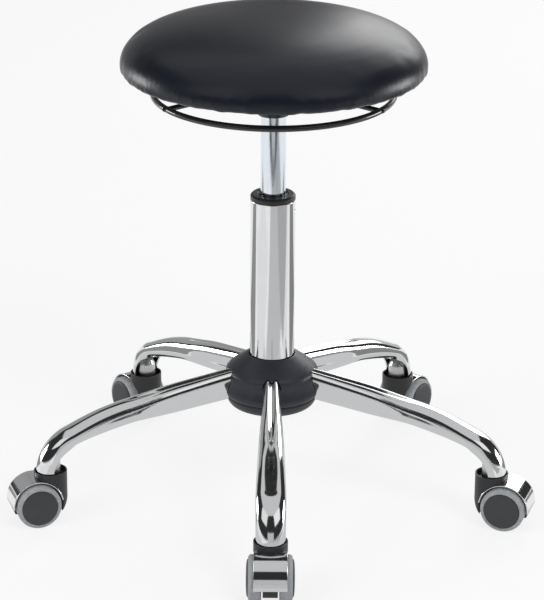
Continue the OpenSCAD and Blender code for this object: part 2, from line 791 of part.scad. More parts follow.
// Tyre, core and pressed-in cap; outlines are [radius, distance from the caster's middle]
module wheel(i, side) {
    tyre_w = tyre_out_w - tyre_in_w;
    boss_w = web_w / 2 + wheel_hub_gap;
    core_out_w = tyre_out_w - run_gap;
    disc_in_w = (tyre_in_w + tyre_out_w - wheel_wall) / 2;
    disc_out_w = disc_in_w + wheel_wall;
    at_caster(i) on_axle() mirror([0, 0, side > 0 ? 0 : 1]) {
        color(tyre_grey) rotate_extrude() polygon([for (share = tyre_shares)
            [rim_r + hair + (wheel_r - rim_r - hair) * share[0], tyre_in_w + tyre_w * share[1]]]);
        color(dark_grey) rotate_extrude() polygon([[axle_r + run_gap, boss_w], [wheel_hub_r, boss_w],
            [wheel_hub_r, disc_in_w], [rim_r - wheel_wall, disc_in_w], [rim_r - wheel_wall, tyre_in_w],
            [rim_r, tyre_in_w], [rim_r, core_out_w], [rim_r - wheel_wall, core_out_w],
            [rim_r - wheel_wall, disc_out_w], [wheel_hub_r, disc_out_w], [wheel_hub_r, axle_w / 2],
            [axle_r + run_gap, axle_w / 2]]);
        color(black) rotate_extrude() polygon([for (share = cap_shares)
            [cap_r * share[0], tyre_out_w + cap_t * share[1]]]);
    }
}

seat_cover();
seat_foam();
seat_board();
tee_nuts();
underside_cloth();
cloth_staples();
seat_plate();
seat_screws();
lever_keeper();
ring_lever();
release_button();
gas_cylinder();
cylinder_gland();
rod_seal();
piston();
piston_rod();
rod_clip();
rubber_bumper();
bearing_balls();
bearing_cage();
bearing_race_upper();
bearing_race_lower();
column_tube();
guide_bush();
hub_sleeve();
hub_cover_top();
hub_cover_bottom();
leg(1);  // leg_1
leg(2);  // leg_2
leg(3);  // leg_3
leg(4);  // leg_4
leg(5);  // leg_5
stem_sockets();
caster_stems();
stem_grip_rings();
caster_fork(1);  // caster_fork_1
caster_fork(2);  // caster_fork_2
caster_fork(3);  // caster_fork_3
caster_fork(4);  // caster_fork_4
caster_fork(5);  // caster_fork_5
caster_hood(1);  // caster_hood_1
caster_hood(2);  // caster_hood_2
caster_hood(3);  // caster_hood_3
caster_hood(4);  // caster_hood_4
caster_hood(5);  // caster_hood_5
caster_axle(1);  // caster_axle_1
caster_axle(2);  // caster_axle_2
caster_axle(3);  // caster_axle_3
caster_axle(4);  // caster_axle_4
caster_axle(5);  // caster_axle_5
wheel(1, 1);  // wheel_left_1
wheel(2, 1);  // wheel_left_2
wheel(3, 1);  // wheel_left_3
wheel(4, 1);  // wheel_left_4
wheel(5, 1);  // wheel_left_5
wheel(1, -1);  // wheel_right_1
wheel(2, -1);  // wheel_right_2
wheel(3, -1);  // wheel_right_3
wheel(4, -1);  // wheel_right_4
wheel(5, -1);  // wheel_right_5
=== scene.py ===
import math

import bmesh
import bpy
from mathutils import Matrix, Vector


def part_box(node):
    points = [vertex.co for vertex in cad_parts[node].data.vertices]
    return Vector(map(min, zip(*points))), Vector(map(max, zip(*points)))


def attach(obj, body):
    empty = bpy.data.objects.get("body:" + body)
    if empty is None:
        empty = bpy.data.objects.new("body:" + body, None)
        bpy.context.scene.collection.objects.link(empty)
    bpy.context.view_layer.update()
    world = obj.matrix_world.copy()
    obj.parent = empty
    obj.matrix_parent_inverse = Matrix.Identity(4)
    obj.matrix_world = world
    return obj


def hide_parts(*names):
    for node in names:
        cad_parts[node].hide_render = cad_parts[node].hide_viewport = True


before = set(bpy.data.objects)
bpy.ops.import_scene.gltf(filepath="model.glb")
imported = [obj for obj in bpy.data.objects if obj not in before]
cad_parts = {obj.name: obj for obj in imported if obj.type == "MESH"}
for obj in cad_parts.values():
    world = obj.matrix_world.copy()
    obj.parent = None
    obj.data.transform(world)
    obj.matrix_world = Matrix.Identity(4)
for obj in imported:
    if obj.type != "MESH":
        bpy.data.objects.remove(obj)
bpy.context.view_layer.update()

MM = 0.001
hair = 0.05 * MM
overrun = 1 * MM
merge_gap = 0.002 * MM

# Seat
cover_low, cover_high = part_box("seat_cover")
seat_r = cover_high.x
seat_z = cover_low.z
seat_h = cover_high.z - seat_z
belly_h = 6.5 * MM
tuck = 9 * MM
skin_t = 1.5 * MM
fold_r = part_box("underside_cloth")[1].x + hair
crown_share = 0.8
belly_share = 0.9
screw_count = 4
screw_circle_r = 62 * MM
screw_r = 3 * MM
screw_gap = 0.3 * MM
first_screw_angle = math.radians(45)

# Seat plate and ring lever
plate_low, plate_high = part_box("seat_plate")
plate_r = plate_high.x
plate_top_z = plate_high.z
plate_t = 3 * MM
pan_r = 48 * MM
pan_floor_z = plate_low.z + 19.334 * MM
plate_socket_r = 17.5 * MM
arm_count = 3
arm_slot_w = 9 * MM
first_arm_angle = math.radians(90)
ring_low, ring_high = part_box("ring_lever")
ring_wire_r = 3.5 * MM
ring_r = ring_high.x - ring_wire_r
ring_z = ring_low.z + ring_wire_r
disc_top_z = ring_high.z
disc_t = 2.5 * MM
disc_r = 38 * MM
arm_wire_r = 3 * MM
arm_in_r = 14 * MM
arm_z = disc_top_z - disc_t - arm_wire_r + 1.5 * MM

# Gas lift
cylinder_low, cylinder_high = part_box("gas_cylinder")
cylinder_r = cylinder_high.x
cylinder_tip_r = cylinder_r - 0.6 * MM
cylinder_wall = 1.8 * MM
button_r = 4 * MM
socket_z = plate_low.z
tube_low, tube_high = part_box("column_tube")
tube_r = tube_high.x
tube_wall = 1.5 * MM
tube_floor_t = 4 * MM
rod_hole_r = 4.05 * MM
taper_h = 66 * MM
taper_r = 24.1 * MM
bush_low, bush_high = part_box("guide_bush")

# Hub and legs
leg_count = 5
hub_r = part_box("hub_cover_top")[1].x
cover_t = 2.5 * MM
cover_gap = 1.2 * MM
cover_h = 48 * MM
bowl_h = 16.5 * MM
bowl_r = hub_r - 2.8 * MM
seam_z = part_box("hub_cover_top")[0].z
slot_gap = 0.8 * MM
sleeve_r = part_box("hub_sleeve")[1].x
leg_arc_r = 320 * MM
leg_bend_r = 43 * MM
leg_hub_h = 36 * MM
leg_hub_w = 20 * MM
leg_out_h = 20 * MM
leg_out_w = 33 * MM
leg_wall = 2 * MM
leg_end_r = 16 * MM
leg_end_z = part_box("stem_sockets")[0].z
leg_foot_h = 3.3 * MM
leg_start_x = sleeve_r - 6 * MM
leg_run_x = 153 * MM
leg_slope = math.radians(8.8)
stem_circle_r = 258 * MM
mouth_r = 32.5 * MM

# Casters
wheel_r = 25 * MM
trail = 18 * MM
neck_r = 18.4 * MM
neck_top_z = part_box("caster_fork_1")[1].z
cup_floor_z = neck_top_z - 5 * MM
cup_wall = 1.4 * MM
hood_wall = 1.5 * MM
hood_in_r = wheel_r + 2 * MM
hood_r = hood_in_r + hood_wall
hood_w = 36 * MM
hood_lift = 1.2 * MM
hood_tilt = math.radians(6.5)
web_w = 16 * MM
web_low_z = 14 * MM
web_gap = 0.3 * MM
bridge_back = 11 * MM
bridge_front = 14 * MM
skirt_r = 31 * MM
skirt_z = 39 * MM
stem_r = 5.5 * MM
axle_r = 3 * MM
axle_w = 44.6 * MM
stem_bore_z = 29 * MM
rim_r = wheel_r - 4.5 * MM
cap_r = rim_r - 0.5 * MM
tyre_in_w = 9.6 * MM
cap_t = 2.7 * MM
tyre_out_w = 23.25 * MM
wheel_hub_r = 8 * MM
wheel_wall = 2.6 * MM


def leg_angle(i):
    return math.radians(-90 - 360 / leg_count * (i - 1))


def power(value, share):
    return math.copysign(abs(value) ** share, value)


def lookup(place, table):
    """Value at a place in a table of (place, value) rows, straight between the rows."""
    for (low, first), (high, second) in zip(table, table[1:]):
        if place <= high:
            return first + (second - first) * max(0, place - low) / (high - low)
    return table[-1][1]


# Outlines, as (radius, height) points

def flowing(points, steps=4):
    """The same outline with a smooth curve through its points."""
    ends = [points[0], *points, points[-1]]
    curve = []
    for a, b, c, d in zip(ends, ends[1:], ends[2:], ends[3:]):
        for step in range(steps):
            t = step / steps
            weights = (-t**3 + 2 * t**2 - t, 3 * t**3 - 5 * t**2 + 2, -3 * t**3 + 4 * t**2 + t, t**3 - t**2)
            curve.append(tuple(sum(w * p[k] for w, p in zip(weights, (a, b, c, d))) / 2 for k in (0, 1)))
    return [*curve, points[-1]]


def eased(corners, steps=4):
    """A closed outline of (radius, height, easing) corners, each rounded by its easing."""
    points = []
    for k, (x, z, easing) in enumerate(corners):
        here = Vector((x, z))
        back = (Vector(corners[k - 1][:2]) - here).normalized()
        on = (Vector(corners[(k + 1) % len(corners)][:2]) - here).normalized()
        if easing == 0:
            points.append((x, z))
            continue
        half = back.angle(on) / 2
        centre = here + (back + on).normalized() * easing / math.sin(half)
        start = here + back * easing / math.tan(half) - centre
        end = here + on * easing / math.tan(half) - centre
        turn = math.atan2(start.x * end.y - start.y * end.x, start.dot(end))
        for step in range(steps + 1):
            a = math.atan2(start.y, start.x) + turn * step / steps
            points.append((centre.x + easing * math.cos(a), centre.y + easing * math.sin(a)))
    return points


def cushion_outline(inset, belly_steps=8, crown_steps=30):
    """Half the cushion's section, from the middle of its underside to the middle of its crown."""
    points = [(0, seat_z + inset)]
    for i in range(belly_steps + 1):
        a = math.pi / 2 * (1 - i / belly_steps)
        points.append((seat_r - tuck + (tuck - inset) * power(math.cos(a), belly_share),
                       seat_z + belly_h - (belly_h - inset) * power(math.sin(a), belly_share)))
    for i in range(1, crown_steps):
        a = math.pi / 2 * i / crown_steps
        points.append(((seat_r - inset) * power(math.cos(a), crown_share),
                       seat_z + belly_h + (seat_h - belly_h - inset) * power(math.sin(a), crown_share)))
    return [*points, (0, seat_z + seat_h - inset)]


# Shaping by hand: a primitive, worked in edit mode and finished with modifiers

def start_clean():
    if bpy.context.object and bpy.context.object.mode != "OBJECT":
        bpy.ops.object.mode_set(mode="OBJECT")
    bpy.ops.object.select_all(action="DESELECT")


def work_on(obj):
    start_clean()
    obj.select_set(True)
    bpy.context.view_layer.objects.active = obj


def close_up(obj):
    """Merges what meets and turns every face outwards."""
    work_on(obj)
    bpy.ops.object.mode_set(mode="EDIT")
    bpy.ops.mesh.select_all(action="SELECT")
    bpy.ops.mesh.remove_doubles(threshold=merge_gap)
    bpy.ops.mesh.normals_make_consistent(inside=False)
    bpy.ops.object.mode_set(mode="OBJECT")
    return obj


def apply(obj, kind, **settings):
    work_on(obj)
    modifier = obj.modifiers.new(kind.title(), kind)
    for key, value in settings.items():
        setattr(modifier, key, value)
    bpy.ops.object.modifier_apply(modifier=modifier.name)
    return obj


def lathe(name, outline, steps=96, closed=True, angle=2 * math.pi):
    """Draws an outline in the XZ plane and spins it round the Z axis."""
    start_clean()
    bpy.ops.mesh.primitive_plane_add(size=MM)
    obj = bpy.context.object
    obj.name = name
    bpy.ops.object.mode_set(mode="EDIT")
    bpy.ops.mesh.merge(type="CENTER")
    bpy.ops.transform.translate(value=(outline[0][0], 0, outline[0][1]))
    path = [*outline, outline[0]] if closed else outline
    for here, there in zip(path, path[1:]):
        move = (there[0] - here[0], 0, there[1] - here[1])
        bpy.ops.mesh.extrude_region_move(TRANSFORM_OT_translate={"value": move})
    bpy.ops.mesh.select_all(action="SELECT")
    bpy.ops.mesh.remove_doubles(threshold=merge_gap)
    bpy.ops.mesh.select_all(action="SELECT")
    bpy.ops.mesh.spin(steps=steps, angle=angle, center=(0, 0, 0), axis=(0, 0, 1))
    if angle < 2 * math.pi:
        bpy.ops.mesh.select_all(action="SELECT")
        bpy.ops.mesh.fill_holes(sides=0)
    return close_up(obj)


def rod(name, r, low, high, steps=96, at=(0, 0)):
    start_clean()
    place = (at[0], at[1], (low + high) / 2)
    bpy.ops.mesh.primitive_cylinder_add(vertices=steps, radius=r, depth=high - low, location=place)
    return settle(bpy.context.object, name)


def block(name, low, high):
    start_clean()
    middle = (Vector(low) + Vector(high)) / 2
    bpy.ops.mesh.primitive_cube_add(size=1, location=middle, scale=Vector(high) - Vector(low))
    return settle(bpy.context.object, name)


def ball(name, r, place, steps=32):
    start_clean()
    bpy.ops.mesh.primitive_uv_sphere_add(segments=steps, ring_count=steps // 2, radius=r, location=place)
    return settle(bpy.context.object, name)


def settle(obj, name):
    """Puts an object's place, turn and size into its mesh."""
    obj.name = name
    work_on(obj)
    bpy.ops.object.transform_apply(location=True, rotation=True, scale=True)
    return obj


def moved(obj, matrix):
    obj.data.transform(matrix)
    if matrix.determinant() < 0:
        obj.data.flip_normals()
    return obj


def copied(obj, name, matrix):
    twin = obj.copy()
    twin.data = obj.data.copy()
    twin.name = name
    bpy.context.scene.collection.objects.link(twin)
    return moved(twin, matrix)


def discard(obj):
    bpy.data.objects.remove(obj, do_unlink=True)


def combine(obj, operation, *tools):
    """Cuts, joins or crosses the object with each tool, which is then gone."""
    for tool in tools:
        apply(obj, "BOOLEAN", operation=operation, solver="EXACT", object=tool)
        discard(tool)
    return obj


def soften(obj, width, segments=2, angle=40):
    """Takes the sharpness off every edge that turns by more than the angle."""
    return apply(obj, "BEVEL", width=width, segments=segments, limit_method="ANGLE",
                 angle_limit=math.radians(angle), harden_normals=False, use_clamp_overlap=True)


def turned(angle):
    return Matrix.Rotation(angle, 4, "Z")


def round_the_axis(count, first_angle):
    return [turned(first_angle + 2 * math.pi * k / count) for k in range(count)]


def finish_piece(obj, body, finish, slot, *nodes, smooth=35):
    """Gives a piece its finish and its body, and hides the solids that it stands for."""
    work_on(obj)
    bpy.ops.object.shade_smooth_by_angle(angle=math.radians(smooth))
    apply(obj, "WEIGHTED_NORMAL", keep_sharp=True)
    obj.data.materials.clear()
    obj.data.materials.append(finish)
    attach(obj, body)
    if nodes:
        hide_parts(*nodes)
    return obj


# Finishes

class Wire:
    """One value in a finish, so that shader maths reads as a sum."""

    def __init__(self, finish, socket):
        self.finish = finish
        self.socket = socket

    def maths(self, operation, first, second):
        return self.finish.node("ShaderNodeMath", {"operation": operation}, {0: first, 1: second})

    def __add__(self, other):
        return self.maths("ADD", self, other)

    def __radd__(self, other):
        return self.maths("ADD", other, self)

    def __sub__(self, other):
        return self.maths("SUBTRACT", self, other)

    def __rsub__(self, other):
        return self.maths("SUBTRACT", other, self)

    def __mul__(self, other):
        return self.maths("MULTIPLY", self, other)

    def __rmul__(self, other):
        return self.maths("MULTIPLY", other, self)


class Shades:
    """A tree of shader nodes."""

    def __init__(self, tree):
        self.tree = tree

    def node(self, kind, settings, sockets, output=0):
        """Makes a node, sets its settings first and then its sockets' values or links."""
        made = self.tree.nodes.new(kind)
        for key, value in settings.items():
            if key == "stops":
                self.set_stops(made.color_ramp.elements, value)
            else:
                setattr(made, key, value)
        self.join(made, sockets)
        return Wire(self, made.outputs[output])

    def set_stops(self, elements, stops):
        for element, (place, value) in zip(elements, stops):
            element.position = place
            element.color = (value, value, value, 1)

    def join(self, made, sockets):
        for key, value in sockets.items():
            if isinstance(value, Wire):
                self.tree.links.new(value.socket, made.inputs[key])
            else:
                made.inputs[key].default_value = value

    def ramp(self, value, low, high):
        """0 below low, 1 above high."""
        return self.node("ShaderNodeValToRGB", {"stops": [(low, 0), (high, 1)]}, {"Fac": value})

    def mix(self, share, first, second):
        return self.node("ShaderNodeMix", {"data_type": "RGBA"}, {0: share, 6: first, 7: second}, 2)

    def seen_rays(self):
        """1 for what the camera, a mirror or a glass sees, 0 for light on the object."""
        camera, glossy, through = (self.node("ShaderNodeLightPath", {}, {}, ray) for ray in
                                   ("Is Camera Ray", "Is Glossy Ray", "Is Transmission Ray"))
        return self.node("ShaderNodeClamp", {}, {"Value": camera + glossy + through})


class Finish(Shades):
    """A material with one main shader. Names of fixed values are those of its sockets."""

    def __init__(self, name, **fixed):
        self.material = bpy.data.materials.new(name)
        self.material.use_nodes = True
        super().__init__(self.material.node_tree)
        self.shader = self.tree.nodes["Principled BSDF"]
        self.paint(**fixed)

    def paint(self, **sockets):
        self.join(self.shader, {key.replace("_", " "): value for key, value in sockets.items()})

    def glow(self, shade):
        return self.node("ShaderNodeEmission", {}, {"Color": (shade, shade, shade, 1)})

    def show(self, surface):
        """Sends a shader other than the main one to the surface."""
        self.join(self.tree.nodes["Material Output"], {"Surface": surface})

    def places(self, stretch=(1, 1, 1)):
        coordinates = self.node("ShaderNodeTexCoord", {}, {}, "Object")
        return self.node("ShaderNodeMapping", {}, {"Vector": coordinates, "Scale": stretch})

    def noise(self, size, detail=2, stretch=(1, 1, 1)):
        """Soft random patches of about the given size."""
        return self.node("ShaderNodeTexNoise", {}, {
            "Vector": self.places(stretch), "Scale": 1 / size, "Detail": detail})

    def cells(self, size, feature="F1", stretch=(1, 1, 1)):
        return self.node("ShaderNodeTexVoronoi", {"feature": feature}, {
            "Vector": self.places(stretch), "Scale": 1 / size})

    def emboss(self, height, depth, strength=1):
        """Raises and sinks the surface by a height in metres."""
        self.paint(Normal=self.node("ShaderNodeBump", {}, {
            "Height": height, "Distance": depth, "Strength": strength}))


def vinyl():
    """Soft upholstery vinyl with a fine pebbled grain and a slight navy cast."""
    f = Finish("black_vinyl", Specular_IOR_Level=0.38)
    pebbles = f.cells(1.1 * MM, "SMOOTH_F1")
    creases = f.noise(0.45 * MM, 3)
    patches = f.noise(60 * MM, 3)
    rubbed = f.ramp(f.noise(140 * MM, 2), 0.35, 0.7)
    f.paint(Base_Color=f.mix(patches, (0.003, 0.0045, 0.009, 1), (0.006, 0.009, 0.017, 1)),
            Roughness=0.27 + patches * 0.08 + rubbed * 0.05)
    f.emboss(pebbles * 0.7 + creases * 0.3, 0.10 * MM, 0.5)
    return f.material


def chrome():
    """Bright plating with the faint haze and ripple of a polished tube."""
    f = Finish("chrome_plate", Metallic=1)
    tint = (0.82, 0.83, 0.84, 1)
    haze = f.noise(18 * MM, 3)
    wipes = f.noise(0.6 * MM, 2, (1, 1, 0.04))
    darker = (tint[0] * 0.95, tint[1] * 0.95, tint[2] * 0.95, 1)
    f.paint(Base_Color=f.mix(haze, tint, darker), Roughness=0.07 + haze * 0.03 + wipes * 0.015)
    f.emboss(f.noise(26 * MM, 1), 0.10 * MM, 0.25)
    return f.material


def ground_chrome():
    """The cylinder's hard chrome, ground to a slightly bluish satin."""
    f = Finish("ground_chrome", Metallic=1)
    rings = f.noise(0.5 * MM, 2, (0.02, 0.02, 1))
    haze = f.noise(30 * MM, 2)
    f.paint(Base_Color=f.mix(haze, (0.74, 0.79, 0.86, 1), (0.82, 0.86, 0.91, 1)),
            Roughness=0.07 + rings * 0.05 + haze * 0.02)
    f.emboss(rings, 0.01 * MM, 0.4)
    return f.material


def moulded(name, low, high, roughness):
    """Moulded plastic with a spark-eroded grain, slightly polished on its edges."""
    f = Finish(name, Specular_IOR_Level=0.5)
    speckle = f.noise(0.35 * MM, 3)
    flow = f.noise(22 * MM, 2)
    edge = f.ramp(f.node("ShaderNodeNewGeometry", {}, {}, "Pointiness"), 0.5, 0.6)
    f.paint(Base_Color=f.mix(flow, (*low, 1), (*high, 1)),
            Roughness=roughness + speckle * 0.10 - edge * 0.08)
    f.emboss(speckle, 0.05 * MM, 0.5)
    return f.material


def enamel():
    """Stoved black enamel over steel, glossy, with a little orange peel."""
    f = Finish("black_enamel", Coat_Roughness=0.08)
    peel = f.noise(1.6 * MM, 2)
    patches = f.noise(35 * MM, 2)
    f.paint(Base_Color=f.mix(patches, (0.008, 0.008, 0.009, 1), (0.014, 0.014, 0.016, 1)),
            Roughness=0.22 + patches * 0.12, Coat_Weight=0.4 + peel * 0.2)
    f.emboss(peel, 0.05 * MM, 0.35)
    return f.material


def zinc():
    """Bright zinc plating with its cloudy crystals."""
    f = Finish("zinc_plate", Metallic=1)
    crystals = f.cells(2.2 * MM)
    cloud = f.noise(9 * MM, 3)
    f.paint(Base_Color=f.mix(cloud, (0.56, 0.57, 0.58, 1), (0.72, 0.72, 0.70, 1)),
            Roughness=0.24 + crystals * 0.12 + cloud * 0.08)
    f.emboss(crystals * 0.4 + cloud * 0.6, 0.03 * MM, 0.3)
    return f.material


def bearing_steel():
    f = Finish("bearing_steel", Metallic=1)
    turning = f.noise(0.4 * MM, 2, (0.05, 0.05, 1))
    oil = f.noise(6 * MM, 2)
    f.paint(Base_Color=f.mix(oil, (0.60, 0.61, 0.62, 1), (0.70, 0.70, 0.71, 1)),
            Roughness=0.14 + turning * 0.10 + oil * 0.06)
    f.emboss(turning, 0.01 * MM, 0.4)
    return f.material


def plywood():
    """Birch plywood: veneers through the thickness and a long grain on the faces."""
    f = Finish("birch_plywood", Specular_IOR_Level=0.3)
    grain = f.noise(1.6 * MM, 4, (1, 0.06, 1))
    veneers = f.node("ShaderNodeTexWave", {"bands_direction": "Z"}, {
        "Vector": f.places(), "Scale": 105, "Distortion": 0.6, "Detail": 1})
    f.paint(Base_Color=f.mix(grain * 0.6 + veneers * 0.4, (0.42, 0.27, 0.14, 1), (0.68, 0.50, 0.30, 1)),
            Roughness=0.55 + grain * 0.2)
    f.emboss(grain, 0.10 * MM, 0.4)
    return f.material


def foam():
    """Open-cell upholstery foam."""
    f = Finish("seat_foam_block", Specular_IOR_Level=0.2)
    pores = f.cells(0.9 * MM)
    yellowing = f.noise(50 * MM, 3)
    f.paint(Base_Color=f.mix(yellowing, (0.78, 0.68, 0.42, 1), (0.86, 0.78, 0.56, 1)),
            Roughness=0.85 + pores * 0.1)
    f.emboss(pores, 0.4 * MM, 0.7)
    return f.material


def dust_cloth():
    """Black spun-bonded cloth, with its pressed diamond spots and loose fibres."""
    f = Finish("spun_bonded_cloth", Specular_IOR_Level=0.3, Sheen_Weight=0.15)
    spots = f.ramp(f.cells(1.4 * MM, "F1", (1, 1.4, 1)), 0.18, 0.42)
    fibres = f.noise(0.25 * MM, 4, (1, 0.3, 1))
    f.paint(Base_Color=f.mix(spots * 0.6 + fibres * 0.4, (0.014, 0.014, 0.015, 1), (0.034, 0.034, 0.036, 1)),
            Roughness=0.72 + fibres * 0.2)
    f.emboss(spots * 0.7 + fibres * 0.3, 0.12 * MM, 0.7)
    return f.material


def tyre_rubber():
    """Soft grey tread with mould marks and a little floor dust."""
    f = Finish("grey_tread", Specular_IOR_Level=0.35)
    dust = f.ramp(f.noise(5 * MM, 4), 0.42, 0.68)
    grain = f.noise(0.3 * MM, 3)
    f.paint(Base_Color=f.mix(dust, (0.30, 0.315, 0.325, 1), (0.37, 0.38, 0.385, 1)),
            Roughness=0.50 + grain * 0.15 + dust * 0.08)
    f.emboss(grain, 0.05 * MM, 0.5)
    return f.material


def brass():
    f = Finish("turned_brass", Metallic=1)
    turning = f.noise(0.5 * MM, 2, (0.05, 0.05, 1))
    tarnish = f.noise(8 * MM, 3)
    f.paint(Base_Color=f.mix(tarnish, (0.78, 0.56, 0.24, 1), (0.62, 0.43, 0.18, 1)),
            Roughness=0.20 + turning * 0.12 + tarnish * 0.10)
    f.emboss(turning, 0.02 * MM, 0.4)
    return f.material


def black_rubber():
    f = Finish("black_rubber", Specular_IOR_Level=0.3)
    grain = f.noise(0.5 * MM, 3)
    bloom = f.noise(12 * MM, 3)
    f.paint(Base_Color=f.mix(bloom, (0.018, 0.018, 0.018, 1), (0.032, 0.032, 0.031, 1)),
            Roughness=0.62 + grain * 0.15)
    f.emboss(grain, 0.06 * MM, 0.5)
    return f.material


vinyl_finish = vinyl()
chrome_finish = chrome()
cylinder_finish = ground_chrome()
hub_finish = moulded("hub_plastic", (0.016, 0.018, 0.025), (0.022, 0.025, 0.034), 0.36)
nylon_finish = moulded("black_nylon", (0.014, 0.014, 0.016), (0.021, 0.021, 0.023), 0.42)
collar_finish = moulded("collar_plastic", (0.012, 0.012, 0.013), (0.019, 0.019, 0.020), 0.34)
wheel_finish = moulded("wheel_plastic", (0.034, 0.036, 0.040), (0.042, 0.044, 0.048), 0.45)
enamel_finish = enamel()
zinc_finish = zinc()
steel_finish = bearing_steel()
tyre_finish = tyre_rubber()
brass_finish = brass()
rubber_finish = black_rubber()
plywood_finish = plywood()
foam_finish = foam()
cloth_finish = dust_cloth()


# Camera, at the photograph's angle

camera_back = 3.000
camera_z = 1.3792
camera_lens = 172.6
camera_shift_x = -0.0005
look_down_angle = 0.365
roll_angle = 0.007


def make_camera():
    data = bpy.data.cameras.new("camera")
    data.lens = camera_lens
    data.shift_x = camera_shift_x
    data.clip_start = 0.1
    data.clip_end = 100
    camera = bpy.data.objects.new("camera", data)
    pitch = Matrix.Rotation(math.pi / 2 - look_down_angle, 3, "X")
    roll = Matrix.Rotation(roll_angle, 3, "Z")
    camera.location = (0, -camera_back, camera_z)
    camera.rotation_euler = (pitch @ roll).to_euler()
    bpy.context.scene.collection.objects.link(camera)
    bpy.context.scene.camera = camera


make_camera()
bpy.context.scene.view_settings.view_transform = "Standard"


# Seat

covering_grid = 5 * MM
covering_swell = 1.5 * MM
swell_cap = covering_swell + 0.8 * MM
held_h = 2.2 * MM
open_h = 3 * MM
pucker_waves = ((0.45, 29, 0.4), (0.30, 43, 2.1), (0.25, 67, 4.0))
pucker_depth = 0.55 * MM
pucker_h = 22 * MM
pleat_depth = 0.5 * MM
pleat_h = 4 * MM
edge_h = 9 * MM
edge_w = 20 * MM


def pucker(angle):
    """Uneven gathers round the rim, from -1 to 1, as waves of (share, count, start)."""
    return sum(share * math.sin(count * angle + start) for share, count, start in pucker_waves)


def inflate(obj):
    """Lets the vinyl swell over its foam, never into it and no further than the cap, and smooths it."""
    frames = 20
    group = obj.vertex_groups.new(name="held")
    group.add([v.index for v in obj.data.vertices if v.co.z < seat_z + held_h], 1, "REPLACE")
    starts = [v.co.copy() for v in obj.data.vertices]
    cloth = obj.modifiers.new("Cloth", "CLOTH")
    cloth.settings.quality = 4
    cloth.settings.mass = 0.3
    cloth.settings.tension_stiffness = 25
    cloth.settings.compression_stiffness = 25
    cloth.settings.bending_stiffness = 2
    cloth.settings.use_pressure = True
    cloth.settings.uniform_pressure_force = 4
    cloth.settings.effector_weights.gravity = 0
    cloth.settings.vertex_group_mass = "held"
    for frame_number in range(1, frames + 1):
        bpy.context.scene.frame_set(frame_number)
    swollen = obj.evaluated_get(bpy.context.evaluated_depsgraph_get())
    ends = [v.co.copy() for v in swollen.data.vertices]
    obj.modifiers.remove(cloth)
    obj.vertex_groups.clear()
    normals = [v.normal.copy() for v in obj.data.vertices]
    for vertex, normal, start, end in zip(obj.data.vertices, normals, starts, ends):
        move = end - start
        move -= normal * min(0, move.dot(normal))
        vertex.co = start + move * min(1, swell_cap / max(move.length, 1e-9))
    bpy.context.scene.frame_set(1)
    work_on(obj)
    bpy.ops.object.mode_set(mode="EDIT")
    bpy.ops.mesh.select_all(action="SELECT")
    bpy.ops.mesh.vertices_smooth(factor=0.5, repeat=6)
    bpy.ops.object.mode_set(mode="OBJECT")


def make_covering():
    """The vinyl over the foam, open below, where it is folded in and stapled."""
    obj = lathe("seat_covering", cushion_outline(covering_swell), closed=False)
    apply(obj, "REMESH", mode="VOXEL", voxel_size=covering_grid)
    inflate(obj)
    apply(obj, "SUBSURF", levels=1, render_levels=1)
    work_on(obj)
    bpy.ops.object.mode_set(mode="EDIT")
    mesh = bmesh.from_edit_mesh(obj.data)
    for face in mesh.faces:
        middle = face.calc_center_median()
        face.select_set(middle.z < seat_z + open_h and math.hypot(middle.x, middle.y) < fold_r)
    bmesh.update_edit_mesh(obj.data)
    bpy.ops.mesh.delete(type="FACE")
    mesh = bmesh.from_edit_mesh(obj.data)
    rim = {v for e in mesh.edges if e.is_boundary for v in e.verts}
    for vertex in rim:
        vertex.co.xy = vertex.co.xy.normalized() * fold_r
    for vertex in mesh.verts:
        gather_in(vertex)
    bmesh.update_edit_mesh(obj.data)
    bpy.ops.object.mode_set(mode="OBJECT")
    apply(obj, "SOLIDIFY", thickness=skin_t - 0.2 * MM, offset=-1)
    finish_piece(obj, "seat", vinyl_finish, "vinyl", "seat_cover", smooth=60)


def gather_in(vertex):
    """Puckers the lower edge, and the pleats where the covering is folded in and stapled."""
    out = math.hypot(vertex.co.x, vertex.co.y)
    angle = math.atan2(vertex.co.y, vertex.co.x)
    height = vertex.co.z - seat_z
    edge = math.exp(-(height / edge_h)**2) * min(1, max(0, (out - fold_r) / edge_w))
    if height < pucker_h and out > seat_r - 2 * tuck:
        vertex.co.xy = vertex.co.xy * (1 + pucker_depth * pucker(angle) * edge / out)
    if height < pleat_h and out < seat_r - tuck / 2:
        vertex.co.z -= pleat_depth * (1 + pucker(angle)) * edge


def make_foam():
    """The foam over the board and round its edge, clear of both and of the covering."""
    board_low, board_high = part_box("seat_board")
    clear = skin_t + 3.5 * MM
    edge_r = board_high.x + 0.5 * MM
    top_z = board_high.z + 2 * MM
    low_z = board_low.z + 4 * MM
    outer = [(r, z) for r, z in cushion_outline(clear)
             if r > board_high.x + clear or z > board_high.z + clear]
    obj = lathe("foam_block", [(0, top_z), (edge_r, top_z), (edge_r, low_z), *outer], closed=False)
    finish_piece(obj, "seat", foam_finish, "foam", "seat_foam")


